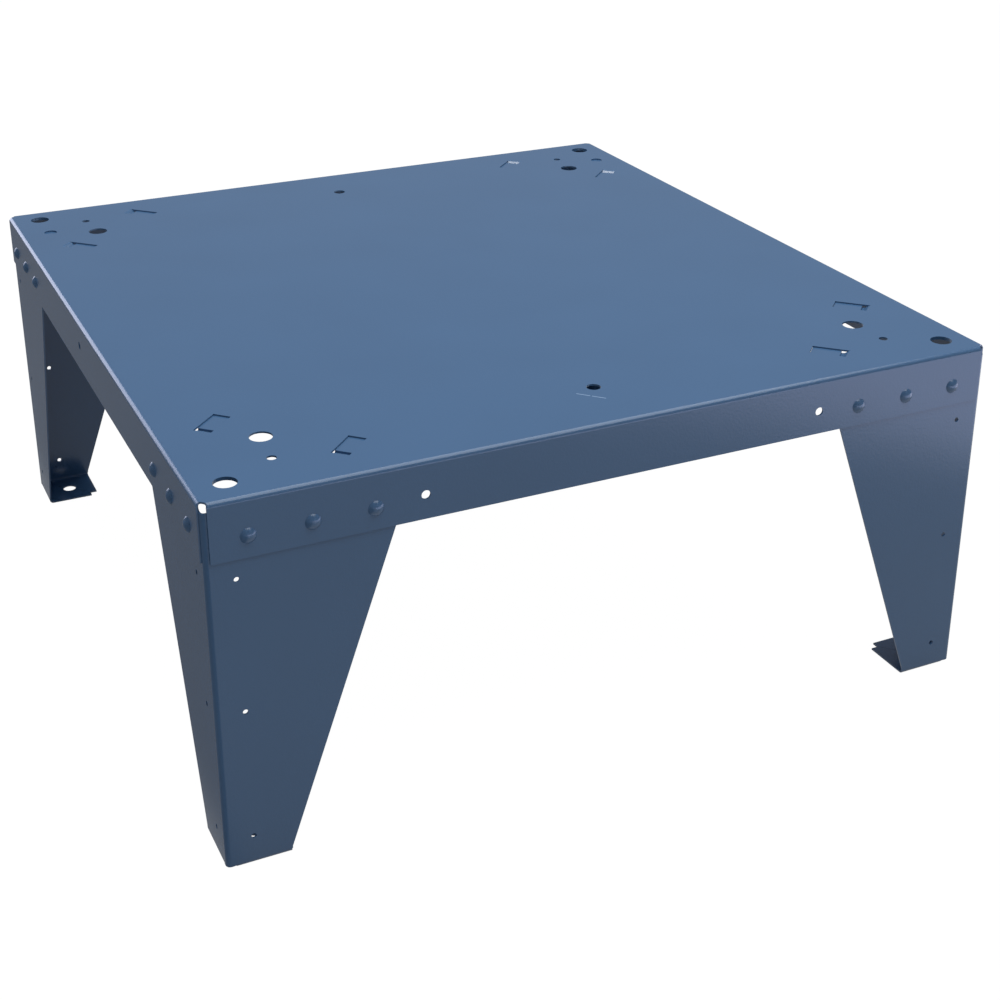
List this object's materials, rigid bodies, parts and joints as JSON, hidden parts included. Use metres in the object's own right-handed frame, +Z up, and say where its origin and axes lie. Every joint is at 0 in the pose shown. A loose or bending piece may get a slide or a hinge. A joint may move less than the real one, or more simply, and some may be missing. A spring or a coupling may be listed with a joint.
{
  "type": "robot pedestal",
  "caption": "Low sheet-steel pedestal: a folded, drilled top pan riveted over tapered folded corner legs with turned-in feet, for standing a small robot or machine on.",
  "frame": {"origin": "on the floor, under the middle of the top pan", "axes": "+X to the right along the front skirt, +Y from the front to the back, +Z up"},
  "size_m": [0.7164, 0.7514, 0.323],
  "materials": {
    "powder_coat": "slate-blue semi-gloss powder coat with a very fine orange peel",
    "rivet_coat": "the same coat over domed steel rivet heads"
  },
  "bodies": {
    "root": {"top_pan": "powder_coat", "leg_front_left": "powder_coat", "leg_front_right": "powder_coat", "leg_back_left": "powder_coat", "leg_back_right": "powder_coat", "rivet_front_left_side_1": "rivet_coat", "rivet_front_left_side_2": "rivet_coat", "rivet_front_left_side_3": "rivet_coat", "rivet_front_left_end_1": "rivet_coat", "rivet_front_left_end_2": "rivet_coat", "rivet_front_left_end_3": "rivet_coat", "rivet_front_right_side_1": "rivet_coat", "rivet_front_right_side_2": "rivet_coat", "rivet_front_right_side_3": "rivet_coat", "rivet_front_right_end_1": "rivet_coat", "rivet_front_right_end_2": "rivet_coat", "rivet_front_right_end_3": "rivet_coat", "rivet_back_left_side_1": "rivet_coat", "rivet_back_left_side_2": "rivet_coat", "rivet_back_left_side_3": "rivet_coat", "rivet_back_left_end_1": "rivet_coat", "rivet_back_left_end_2": "rivet_coat", "rivet_back_left_end_3": "rivet_coat", "rivet_back_right_side_1": "rivet_coat", "rivet_back_right_side_2": "rivet_coat", "rivet_back_right_side_3": "rivet_coat", "rivet_back_right_end_1": "rivet_coat", "rivet_back_right_end_2": "rivet_coat", "rivet_back_right_end_3": "rivet_coat"}
  },
  "joints": []
}
